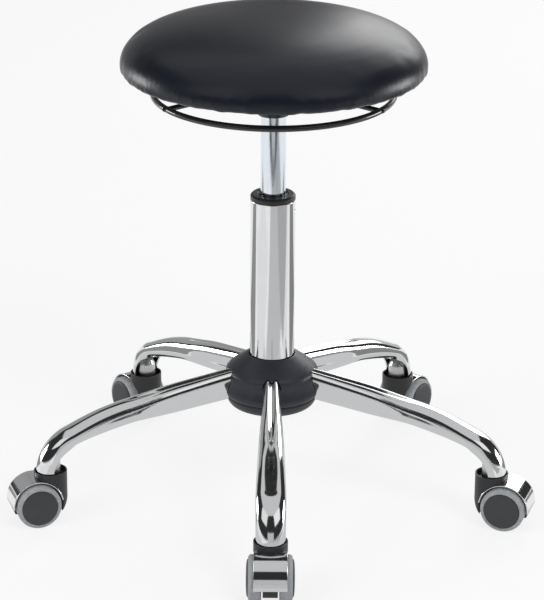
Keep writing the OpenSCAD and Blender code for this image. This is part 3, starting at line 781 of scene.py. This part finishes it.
def make_dust_cloth():
    """A disc of cloth, stretched over the board and dimpled between its staples."""
    staple_count = 28
    cut_r = fold_r - 0.2 * MM
    cloth_z = seat_z + 0.75 * MM
    thickness = 0.4 * MM
    dimple = 0.28 * MM
    ripple = 0.1 * MM
    rings = 16
    outline = [(cut_r * k / rings, cloth_z) for k in range(rings + 1)]
    obj = lathe("dust_cloth", outline, steps=4 * staple_count, closed=False)
    for vertex in obj.data.vertices:
        out = math.hypot(vertex.co.x, vertex.co.y)
        angle = math.atan2(vertex.co.y, vertex.co.x)
        edge = max(0, (out - plate_r) / (cut_r - plate_r))
        pull = dimple * edge**2 * math.cos(staple_count * angle)
        vertex.co.z += pull + ripple * pucker(angle / 2) * edge
    apply(obj, "SOLIDIFY", thickness=thickness, offset=0)
    holes = [rod("hole", screw_r + screw_gap, seat_z - overrun, seat_z + 3 * MM, 32, at)
             for at in screw_places()]
    combine(obj, "DIFFERENCE", *holes)
    finish_piece(obj, "seat", cloth_finish, "dust_cloth", "underside_cloth")


def screw_places():
    return [tuple((turn @ Vector((screw_circle_r, 0, 0))).xy)
            for turn in round_the_axis(screw_count, first_screw_angle)]


make_covering()
make_foam()
make_dust_cloth()


# Seat plate and ring lever

def make_seat_plate():
    """Pressed plate: a screwed flange, a deep pan with drawn corners and the tapered socket."""
    out_ease = 6 * MM
    in_ease = 3 * MM
    rim_ease = 0.8 * MM
    slot_ease = 1.8 * MM
    slot_top_z = disc_top_z + 3.3 * MM
    top_z = cylinder_high.z
    obj = lathe("pressed_seat_plate", eased([
        (cylinder_r + hair, socket_z, 0),
        (plate_socket_r, socket_z, 0.5 * MM),
        (plate_socket_r, pan_floor_z - plate_t, 1.5 * MM),
        (pan_r, pan_floor_z - plate_t, out_ease),
        (pan_r, plate_top_z - plate_t, in_ease),
        (plate_r, plate_top_z - plate_t, rim_ease),
        (plate_r, plate_top_z, rim_ease),
        (pan_r - plate_t, plate_top_z, out_ease),
        (pan_r - plate_t, pan_floor_z, in_ease),
        (plate_socket_r, pan_floor_z, 1 * MM),
        (plate_socket_r, top_z, 0.5 * MM),
        (cylinder_tip_r + hair, top_z, 0)]), steps=120)
    slots = []
    for turn in round_the_axis(arm_count, first_arm_angle):
        slot = block("slot", (pan_r - plate_t - overrun, -arm_slot_w / 2, pan_floor_z),
                     (pan_r + overrun, arm_slot_w / 2, slot_top_z))
        soften(slot, slot_ease, 3)
        slots.append(moved(slot, turn))
    holes = [rod("hole", screw_r + screw_gap, plate_top_z - 2 * plate_t, plate_top_z + plate_t, 32, at)
             for at in screw_places()]
    combine(obj, "DIFFERENCE", *slots, *holes)
    finish_piece(obj, "seat", enamel_finish, "black_steel", "seat_plate")


def make_ring_lever():
    """The ring's wire, three straight arms welded under it and the disc that they carry."""
    wire_sides = 20
    disc_ease = 0.6 * MM
    bead_r = arm_wire_r * 1.25
    bead_shape = Matrix.Diagonal((1.5, 1.2, 0.72, 1))
    disc_bead_rise = 1.4 * MM
    turns = [2 * math.pi * k / wire_sides for k in range(wire_sides)]
    section = [(ring_r + ring_wire_r * math.cos(a), ring_z + ring_wire_r * math.sin(a)) for a in turns]
    obj = lathe("welded_ring_lever", section, steps=144)
    disc = lathe("disc", eased([(0, disc_top_z - disc_t, 0), (disc_r, disc_top_z - disc_t, disc_ease),
                                (disc_r, disc_top_z, disc_ease), (0, disc_top_z, 0)]))
    run = ring_r - arm_in_r
    fall = arm_z - ring_z
    slope = Matrix.Rotation(math.pi / 2 + math.atan2(fall, run), 4, "Y")
    lean = Matrix.Translation((arm_in_r, 0, arm_z)) @ slope
    arm = rod("arm", arm_wire_r, 0, math.hypot(run, fall), 24)
    soften(arm, 0.8 * MM)
    moved(arm, lean)
    for r, rise in ((ring_r, 0), (disc_r - 4 * MM, disc_bead_rise), (disc_r - 14 * MM, disc_bead_rise)):
        z = arm_z - fall * (r - arm_in_r) / run
        bead = ball("bead", bead_r, (0, 0, 0), 20)
        moved(bead, Matrix.Translation((r, 0, z + rise)) @ bead_shape)
        combine(arm, "UNION", bead)
    arms = [copied(arm, "arm", turn) for turn in round_the_axis(arm_count, first_arm_angle)]
    discard(arm)
    combine(obj, "UNION", disc, *arms)
    finish_piece(obj, "lever", enamel_finish, "black_steel", "ring_lever")


make_seat_plate()
make_ring_lever()


# Gas lift and column

def make_gas_cylinder():
    wall_in = cylinder_r - cylinder_wall
    rod_gap_r = 7 * MM
    valve_r = button_r + hair
    low, high = cylinder_low.z, cylinder_high.z
    floor_z = low + 2 * MM
    obj = lathe("bright_gas_cylinder", eased([
        (rod_gap_r, low, 0.3 * MM), (cylinder_r, low, 1.2 * MM), (cylinder_r, socket_z, 0),
        (cylinder_tip_r, high, 0.6 * MM), (valve_r, high, 0.3 * MM), (valve_r, high - 12 * MM, 0),
        (wall_in, high - 19 * MM, 0), (wall_in, floor_z, 0), (rod_gap_r, floor_z, 0)]), steps=128)
    finish_piece(obj, "seat", cylinder_finish, "chrome", "gas_cylinder")


def make_column_tube():
    """The outer tube, its foot tapered, with two punched dimples that hold the guide."""
    dimple_r = 4 * MM
    dimple_depth = 1 * MM
    dimple_drop = 12 * MM
    low, high = tube_low.z, tube_high.z
    inner_r = tube_r - tube_wall
    floor_z = low + tube_floor_t
    obj = lathe("chrome_column_tube", eased([
        (rod_hole_r, low, 0), (taper_r, low, 1.5 * MM), (tube_r, low + taper_h, 0), (tube_r, high, 0.6 * MM),
        (inner_r, high, 0.3 * MM), (inner_r, low + taper_h, 0), (taper_r - tube_wall, floor_z, 0),
        (rod_hole_r, floor_z, 0)]), steps=160)
    dimples = []
    for angle in (-15, 165):
        dimple = ball("dimple", dimple_r, (tube_r + dimple_r - dimple_depth, 0, high - dimple_drop))
        dimples.append(moved(dimple, turned(math.radians(angle))))
    combine(obj, "DIFFERENCE", *dimples)
    finish_piece(obj, "base", chrome_finish, "chrome", "column_tube")


def make_guide_bush():
    """The long plastic guide and its collar, with a wiper groove round the cylinder."""
    groove_z = bush_high.z - 0.8 * MM
    lip_z = bush_high.z - 0.2 * MM
    low, high = bush_low.z, bush_high.z
    step_z = tube_high.z + hair
    in_tube_r = tube_r - tube_wall - hair
    bore = cylinder_r + hair
    obj = lathe("black_guide_bush", eased([
        (bore, low, 0), (in_tube_r, low, 0.8 * MM), (in_tube_r, step_z, 0),
        (tube_r, step_z, 0.3 * MM), (tube_r, high - 2 * MM, 0.8 * MM),
        (tube_r - 2 * MM, high, 0.6 * MM), (bore + 3.2 * MM, high, 0.4 * MM),
        (bore + 2.8 * MM, groove_z, 0.3 * MM), (bore + 1.4 * MM, groove_z, 0.3 * MM),
        (bore + 1.2 * MM, lip_z, 0.3 * MM), (bore, lip_z, 0.3 * MM)]), steps=128)
    finish_piece(obj, "base", collar_finish, "cover_plastic", "guide_bush")


make_gas_cylinder()
make_column_tube()
make_guide_bush()


# Hub

cover_shares = ((0, 1), (0.06, 0.985), (0.17, 0.945), (0.5, 0.82), (0.745, 0.715), (0.853, 0.655),
                (0.914, 0.59), (0.928, 0.47), (0.926, 0.38), (0.95, 0.285), (0.985, 0.2), (1, 0.15),
                (0.996, 0.1), (0.964, 0.047), (0.905, 0.01), (0.87, 0))
bowl_shares = ((0, 0), (0.3, 0.04), (0.5, 0.12), (0.68, 0.23), (0.83, 0.37), (0.93, 0.57),
               (0.985, 0.8), (1, 0.93), (0.97, 1))


def cover_outline(inset):
    inner = tube_r + cover_gap
    return flowing([(inner + (hub_r - inset - inner) * x, seam_z + (cover_h - inset) * z)
                    for x, z in cover_shares])


def bowl_outline(inset):
    inner = taper_r + cover_gap
    low = seam_z - hair - bowl_h + inset
    return flowing([(inner + (bowl_r - inset - inner) * x, low + (bowl_h - inset) * z)
                    for x, z in bowl_shares])


def make_hub_cover(name, outline, node):
    """One moulding of the hub's cover, with a rounded window for each leg."""
    obj = lathe(name, [*outline(0), *reversed(outline(cover_t))], steps=144)
    combine(obj, "DIFFERENCE", *leg_slots())
    soften(obj, 0.35 * MM, 2, 50)
    finish_piece(obj, "base", hub_finish, "cover_plastic", node)


# Legs: a straight run, a long arc and a tight bend, each place given by u from 0 to 4

leg_arc_x = stem_circle_r - leg_bend_r - leg_run_x + leg_arc_r * math.sin(leg_slope)
leg_turn = math.asin(leg_arc_x / (leg_arc_r - leg_bend_r))
bend_z = leg_end_z + leg_foot_h
leg_run_z = bend_z + leg_bend_r * math.cos(leg_turn) + leg_arc_r * (math.cos(leg_slope) - math.cos(leg_turn))
leg_z = leg_run_z + (leg_run_x - leg_start_x) * math.tan(leg_slope)
leg_h_shares = ((0, 0), (0.77, 0.2), (1, 0.65), (1.5, 0.68), (2, 1))
leg_w_shares = ((0, 0), (0.27, 0.06), (0.94, 0.58), (2, 1))
keel_shares = ((0, 0.4), (0.6, 0.45), (0.77, 0.6), (0.94, 1))
groove_shares = ((0, 1), (0.77, 1), (0.94, 0.5), (1.1, 0))
valley_shares = ((0, 1), (0.6, 1), (0.94, 0))
section_shares = ((0, 0.72), (1, 0.75), (2, 0.86), (3, 1))
groove_depth = 3.4 * MM
groove_w = 3 * MM
valley_depth = 2.5 * MM
valley_drop_share = 0.1
valley_w_share = 0.35
keel_top_share = 0.4
window_u = 0.2
spread_shares = ((0, 0), (0.46, 1), (0.76, 2), (0.97, 3), (1, 4))


def leg_place(u):
    """(distance out, height, slope) of the leg's middle line."""
    if u <= 1:
        run = (leg_run_x - leg_start_x) * u
        return leg_start_x + run, leg_z - run * math.tan(leg_slope), leg_slope
    if u <= 2:
        a = leg_slope + (leg_turn - leg_slope) * (u - 1)
        return (leg_run_x + leg_arc_r * (math.sin(a) - math.sin(leg_slope)),
                leg_run_z - leg_arc_r * (math.cos(leg_slope) - math.cos(a)), a)
    if u <= 3:
        a = leg_turn + (math.pi / 2 - leg_turn) * (u - 2)
        return stem_circle_r - leg_bend_r * (1 - math.sin(a)), bend_z + leg_bend_r * math.cos(a), a
    return stem_circle_r, bend_z - leg_foot_h * (u - 3), math.pi / 2


def flowing_lookup(u, table, reach=0.12):
    """The table's value with its corners worn off."""
    return sum(lookup(u + reach * k / 2, table) for k in (-2, -1, 0, 1, 2)) / 5


def leg_section(u, angle, gap=0):
    """(across, up) of a point on the leg's skin, at an angle round its section."""
    if u <= 2:
        half_h = (leg_hub_h + (leg_out_h - leg_hub_h) * flowing_lookup(u, leg_h_shares)) / 2
        half_w = (leg_hub_w + (leg_out_w - leg_hub_w) * flowing_lookup(u, leg_w_shares)) / 2
    else:
        half_h = leg_out_h / 2 + (leg_end_r - leg_out_h / 2) * min(1, u - 2)
        half_w = leg_out_w / 2 + (leg_end_r - leg_out_w / 2) * min(1, u - 2)
    share = flowing_lookup(u, section_shares)
    rise = power(math.sin(angle), share)
    low = min(1, max(0, (keel_top_share - rise) / (1 + keel_top_share)))
    keel = flowing_lookup(u, keel_shares)
    across = power(math.cos(angle), share) * (half_w * (1 - (1 - keel) * low) + gap)
    up = (half_h + gap) * rise
    if up > 0:
        up -= groove_depth * flowing_lookup(u, groove_shares) * math.exp(-(across / groove_w)**2)
    pinch = valley_depth * flowing_lookup(u, valley_shares) * math.exp(
        -((rise + valley_drop_share) / valley_w_share)**2)
    return across - math.copysign(min(abs(across), pinch), across), up


def leg_point(u, angle):
    out, height, slope = leg_place(u)
    across, up = leg_section(u, angle)
    return out + up * math.sin(slope), across, height + up * math.cos(slope)


def leg_slots():
    """Bars of the leg's own section, with a gap round it, that cut the windows in the covers."""
    start_clean()
    count = 60
    bpy.ops.mesh.primitive_circle_add(vertices=count, radius=hub_r, fill_type="NGON")
    bar = settle(bpy.context.object, "bar")
    for k, vertex in enumerate(bar.data.vertices):
        vertex.co = (0, *leg_section(window_u, 2 * math.pi * k / count, slot_gap))
    work_on(bar)
    bpy.ops.object.mode_set(mode="EDIT")
    bpy.ops.mesh.select_all(action="SELECT")
    bpy.ops.mesh.extrude_region_move(TRANSFORM_OT_translate={"value": (hub_r, 0, 0)})
    bpy.ops.object.mode_set(mode="OBJECT")
    close_up(bar)
    moved(bar, Matrix.Translation((leg_start_x, 0, leg_z)) @ Matrix.Rotation(leg_slope, 4, "Y"))
    slots = [copied(bar, "slot", turned(leg_angle(i))) for i in range(1, leg_count + 1)]
    discard(bar)
    return slots


make_hub_cover("upper_hub_cover", cover_outline, "hub_cover_top")
make_hub_cover("lower_hub_cover", bowl_outline, "hub_cover_bottom")


def make_legs():
    """One tube, rolled up from a flat grid, given its wall, saddle and mouth, and copied round."""
    start_clean()
    bpy.ops.mesh.primitive_grid_add(x_subdivisions=96, y_subdivisions=120, size=2)
    leg = bpy.context.object
    for vertex in leg.data.vertices:
        angle = math.pi * (vertex.co.x + 1)
        vertex.co = leg_point(lookup((vertex.co.y + 1) / 2, spread_shares), angle)
    close_up(leg)
    apply(leg, "SOLIDIFY", thickness=leg_wall, offset=-1)
    saddle = rod("saddle", sleeve_r + hair, leg_z - leg_hub_h, leg_z + leg_hub_h)
    mouth = rod("mouth", mouth_r, -leg_out_w, leg_out_w, 128)
    moved(mouth, Matrix.Translation((stem_circle_r - mouth_r + hair, 0, leg_end_z))
          @ Matrix.Rotation(math.pi / 2, 4, "X"))
    combine(leg, "DIFFERENCE", saddle, mouth)
    soften(leg, 0.3 * MM, 2, 55)
    for i in range(1, leg_count + 1):
        twin = copied(leg, f"chrome_leg_{i}", turned(leg_angle(i)))
        finish_piece(twin, "base", chrome_finish, "chrome", f"leg_{i}", smooth=40)
    discard(leg)


make_legs()


# Casters, made once about their own swivel axis, +X outward, and copied to each leg

on_axle = Matrix.Translation((trail, 0, wheel_r)) @ Matrix.Rotation(-math.pi / 2, 4, "X")
tyre_shares = ((0, 0), (0.67, 0), (0.9, 0.03), (1, 0.11), (1, 0.45), (1, 0.78), (0.87, 0.91),
               (0.6, 0.99), (0, 1.03))
cap_shares = ((0, 1), (0.5, 0.93), (0.78, 0.8), (0.93, 0.62), (1, 0.35), (1, 0))


def at_caster(i):
    return turned(leg_angle(i)) @ Matrix.Translation((stem_circle_r, 0, 0))


def axle_rod(name, r, half_w, steps=96):
    return moved(rod(name, r, -half_w, half_w, steps), on_axle)


def make_fork():
    """Black body: a cupped neck, a rounded skirt behind the hood and the web that holds the axle."""
    neck = rod("fork", neck_r, web_low_z - overrun, neck_top_z)
    skirt = moved(rod("skirt", skirt_r + overrun, -2 * neck_r, 2 * neck_r, 128),
                  Matrix.Translation((skirt_r - neck_r, 0, skirt_z)) @ Matrix.Rotation(math.pi / 2, 4, "X"))
    keep = rod("keep", neck_r + overrun, skirt_z, neck_top_z + overrun, 64)
    combine(keep, "UNION", skirt)
    combine(neck, "INTERSECT", keep)
    combine(neck, "DIFFERENCE", axle_rod("room", hood_r + hair, 2 * neck_r, 160))
    web = axle_rod("web", hood_in_r - hair, web_w / 2)
    combine(web, "INTERSECT", block("part", (trail - hood_r, -web_w, web_low_z),
                                    (trail + hood_r, web_w, web_low_z + 2 * hood_r)))
    bridge = block("bridge", (-bridge_back, -web_w / 2, wheel_r),
                   (bridge_front, web_w / 2, wheel_r + hood_in_r))
    combine(neck, "UNION", web, bridge)
    combine(neck, "DIFFERENCE",
            rod("cup", neck_r - cup_wall, cup_floor_z, neck_top_z + overrun),
            rod("bore", stem_r + hair, stem_bore_z, neck_top_z, 48),
            axle_rod("hole", axle_r + hair, web_w, 48))
    return soften(neck, 0.5 * MM, 3, 35)


def make_hood():
    """Chrome shell over both wheels, open below, with a slot for the neck's web."""
    lip = 0.6 * MM
    arc = 2 * math.acos(hood_lift / hood_r)
    section = eased([(hood_in_r, -hood_w / 2, lip), (hood_r, -hood_w / 2, lip),
                     (hood_r, hood_w / 2, lip), (hood_in_r, hood_w / 2, lip)])
    hood = lathe("hood", section, steps=112, angle=arc)
    moved(hood, on_axle @ turned(arc / 2 + hood_tilt - math.pi / 2))
    slot = block("slot", (-bridge_back - web_gap, -web_w / 2 - web_gap, wheel_r - 3 * MM),
                 (bridge_front + web_gap, web_w / 2 + web_gap, wheel_r + 2 * hood_r))
    combine(hood, "DIFFERENCE", slot)
    return soften(hood, 0.35 * MM, 2, 55)


def make_wheel_pieces():
    """Tyre, core and pressed-in cap of the wheel on the +Y side."""
    tyre_w = tyre_out_w - tyre_in_w
    tyre_t = wheel_r - rim_r - hair
    tread = flowing([(rim_r + hair + tyre_t * x, tyre_in_w + tyre_w * z) for x, z in tyre_shares], 3)
    tyre = lathe("tyre", tread)
    boss_w = web_w / 2 + 0.5 * MM
    core_out_w = tyre_out_w - hair
    disc_in_w = (tyre_in_w + tyre_out_w - wheel_wall) / 2
    disc_out_w = disc_in_w + wheel_wall
    barrel_r = rim_r - wheel_wall
    core = lathe("core", eased([
        (axle_r + hair, boss_w, 0), (wheel_hub_r, boss_w, 0.4 * MM), (wheel_hub_r, disc_in_w, 0.8 * MM),
        (barrel_r, disc_in_w, 0.8 * MM), (barrel_r, tyre_in_w, 0.4 * MM), (rim_r, tyre_in_w, 0.2 * MM),
        (rim_r, core_out_w, 0), (barrel_r, core_out_w, 0), (barrel_r, disc_out_w, 0),
        (wheel_hub_r, disc_out_w, 0), (wheel_hub_r, axle_w / 2, 0), (axle_r + hair, axle_w / 2, 0)]))
    dome = flowing([(cap_r * x, tyre_out_w + cap_t * z) for x, z in cap_shares], 4)
    cap = lathe("cap", [*dome, (0, tyre_out_w)], closed=False)
    return {"tyre": (tyre, tyre_finish, "tyre_grey"), "core": (core, wheel_finish, "wheel_black"),
            "cap": (cap, wheel_finish, "wheel_black")}


def make_casters():
    fork = make_fork()
    hood = make_hood()
    pieces = make_wheel_pieces()
    for i in range(1, leg_count + 1):
        finish_piece(copied(fork, f"moulded_fork_{i}", at_caster(i)), f"caster_{i}", nylon_finish,
                     "black_nylon", f"caster_fork_{i}")
        finish_piece(copied(hood, f"chrome_hood_{i}", at_caster(i)), f"caster_{i}", chrome_finish,
                     "chrome", f"caster_hood_{i}")
        for side, flip in (("left", 1), ("right", -1)):
            place = at_caster(i) @ on_axle @ Matrix.Diagonal((1, 1, flip, 1))
            for name, (piece, finish, slot) in pieces.items():
                finish_piece(copied(piece, f"{name}_{side}_{i}", place), f"{side}_wheel_{i}", finish,
                             slot, f"wheel_{side}_{i}")
    for piece in (fork, hood, *(piece for piece, finish, slot in pieces.values())):
        discard(piece)


make_casters()


# Solids whose shape is right as it is, each with its own finish

def paint_solid(finish, *names):
    for name in names:
        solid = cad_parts[name]
        solid.data.materials.clear()
        solid.data.materials.append(finish)


paint_solid(plywood_finish, "seat_board")
paint_solid(zinc_finish, "tee_nuts", "cloth_staples", "seat_screws", "lever_keeper", "rod_clip",
            "hub_sleeve", "stem_sockets", "caster_stems", "stem_grip_rings")
paint_solid(nylon_finish, "release_button", "piston")
paint_solid(brass_finish, "cylinder_gland", "bearing_cage")
paint_solid(rubber_finish, "rod_seal", "rubber_bumper")
paint_solid(steel_finish, "piston_rod", "bearing_balls", "bearing_race_upper", "bearing_race_lower")
for i in range(1, leg_count + 1):
    paint_solid(zinc_finish, f"caster_axle_{i}")


# Studio: a pale floor, soft lamps, and cards that only the plating and the gloss see

floor_glow_share = 0.8
room_light = (0.50, 0.50, 0.51, 1)
seen_white = (1, 1, 1, 1)
card_lift = 2 * MM
low_middle = (0, 0, 0.2)
flag_out = 6
flag_w = 12.2
flag_h = 5
flag_shade = 0.03


def make_floor():
    start_clean()
    bpy.ops.mesh.primitive_plane_add(size=24)
    floor = bpy.context.object
    floor.name = "floor"
    f = Finish("pale_floor", Roughness=0.9, Specular_IOR_Level=0)
    f.paint(Base_Color=(0.86, 0.86, 0.86, 1))
    f.show(f.node("ShaderNodeMixShader", {}, {
        0: f.seen_rays() * floor_glow_share, 1: Wire(f, f.shader.outputs[0]), 2: f.glow(1)}))
    floor.data.materials.append(f.material)


def make_surroundings():
    world = bpy.data.worlds.new("studio")
    world.use_nodes = True
    bpy.context.scene.world = world
    w = Shades(world.node_tree)
    backdrop = world.node_tree.nodes["Background"]
    w.join(backdrop, {"Color": w.mix(w.seen_rays(), room_light, seen_white), "Strength": 1})


def make_lamp(name, place, aim, size, watts):
    data = bpy.data.lights.new(name, "AREA")
    data.shape = "RECTANGLE"
    data.size, data.size_y = size
    data.energy = watts
    lamp = bpy.data.objects.new(name, data)
    lamp.visible_glossy = False
    lamp.location = place
    lamp.rotation_mode = "QUATERNION"
    lamp.rotation_quaternion = (Vector(aim) - Vector(place)).to_track_quat("-Z", "Y")
    bpy.context.scene.collection.objects.link(lamp)


def make_card(name, centre, size, aim, shade):
    """A card that shows only in reflections: black, grey or glowing."""
    start_clean()
    bpy.ops.mesh.primitive_plane_add(size=1)
    card = bpy.context.object
    card.name = name
    face = (Vector(aim) - Vector(centre)).to_track_quat("Z", "Y").to_matrix().to_4x4()
    moved(card, Matrix.Translation(centre) @ face @ Matrix.Diagonal((size[0], size[1], 1, 1)))
    f = Finish(name)
    f.show(f.glow(shade))
    card.data.materials.append(f.material)
    card.visible_camera = False
    card.visible_diffuse = False
    card.visible_shadow = False


def make_floor_card(name, low, high, shade):
    centre = ((low[0] + high[0]) / 2, (low[1] + high[1]) / 2, card_lift)
    make_card(name, centre, (high[0] - low[0], high[1] - low[1]), (centre[0], centre[1], 1), shade)


make_floor()
make_surroundings()
make_lamp("key", (1.6, -2.2, 2.6), (0, 0, 0.3), (1.4, 1.4), 42)
make_lamp("fill", (-2.2, -1.8, 1.8), (0, 0, 0.3), (1.6, 1.6), 30)
make_lamp("back", (1.1, 2.4, 1.5), (0, 0, 0.5), (0.9, 0.7), 18)
for name, x, y in (("front_flag", 0, -1), ("back_flag", 0, 1), ("left_flag", -1, 0), ("right_flag", 1, 0)):
    make_card(name, (flag_out * x, flag_out * y, flag_h / 2), (flag_w, flag_h),
              (0, 0, flag_h / 2), flag_shade)
make_card("top_flag", (0, 0, 4.9), (flag_w, flag_w), (0, 0, 0), flag_shade)
make_card("ceiling", (0, 0.1, 3.0), (4.6, 5.4), low_middle, 0.62)
make_card("front_right_softbox", (2.0, -2.0, 2.30), (2.4, 1.7), low_middle, 0.95)
make_card("front_left_softbox", (-2.0, -2.0, 2.30), (2.4, 1.7), low_middle, 0.85)
make_card("front_low_glow", (0, -1.25, 0.17), (0.7, 0.34), (0, 0, 0.17), 0.55)
make_card("right_lamp", (2.9, 0.7, 0.45), (1.3, 0.9), low_middle, 9)
make_card("left_lamp", (-2.9, 1.1, 0.45), (1.2, 0.9), low_middle, 9)
make_card("back_right_wall", (1.9, 4.5, 2.35), (3.2, 2.3), low_middle, 3.4)
make_card("back_right_low", (2.0, 4.6, 0.6), (3.4, 1.2), low_middle, 0.55)
make_card("back_left_wall", (-2.0, 4.5, 1.3), (4.2, 2.6), low_middle, 0.35)
# Painted shadow: a grey card under the stool, seen only in reflections, darker than the floor around it,
# standing for the stool's shadow on the floor
make_floor_card("painted_shadow_under_stool", (-0.32, -0.38), (0.32, 0.32), 0.66)
make_floor_card("floor_front", (-0.22, -1.10), (0.40, -0.38), 0.58)
make_floor_card("floor_far_front", (-3.0, -4.0), (3.0, -1.85), 0.02)
make_floor_card("floor_front_gap", (-3.0, -1.45), (3.0, -1.12), 0.02)
make_floor_card("floor_front_glow", (-0.5, -1.85), (0.5, -1.45), 1.8)
make_floor_card("floor_right_front", (0.40, -1.10), (1.10, -0.26), 0.45)
make_floor_card("floor_left_front", (-0.90, -0.80), (-0.32, -0.08), 0.85)
make_floor_card("floor_right", (0.35, -0.26), (1.10, -0.09), 0.85)
make_floor_card("floor_back_left", (-1.10, 0.06), (-0.34, 0.50), 0.30)
make_floor_card("floor_back_right", (0.34, 0.08), (1.10, 0.55), 0.26)
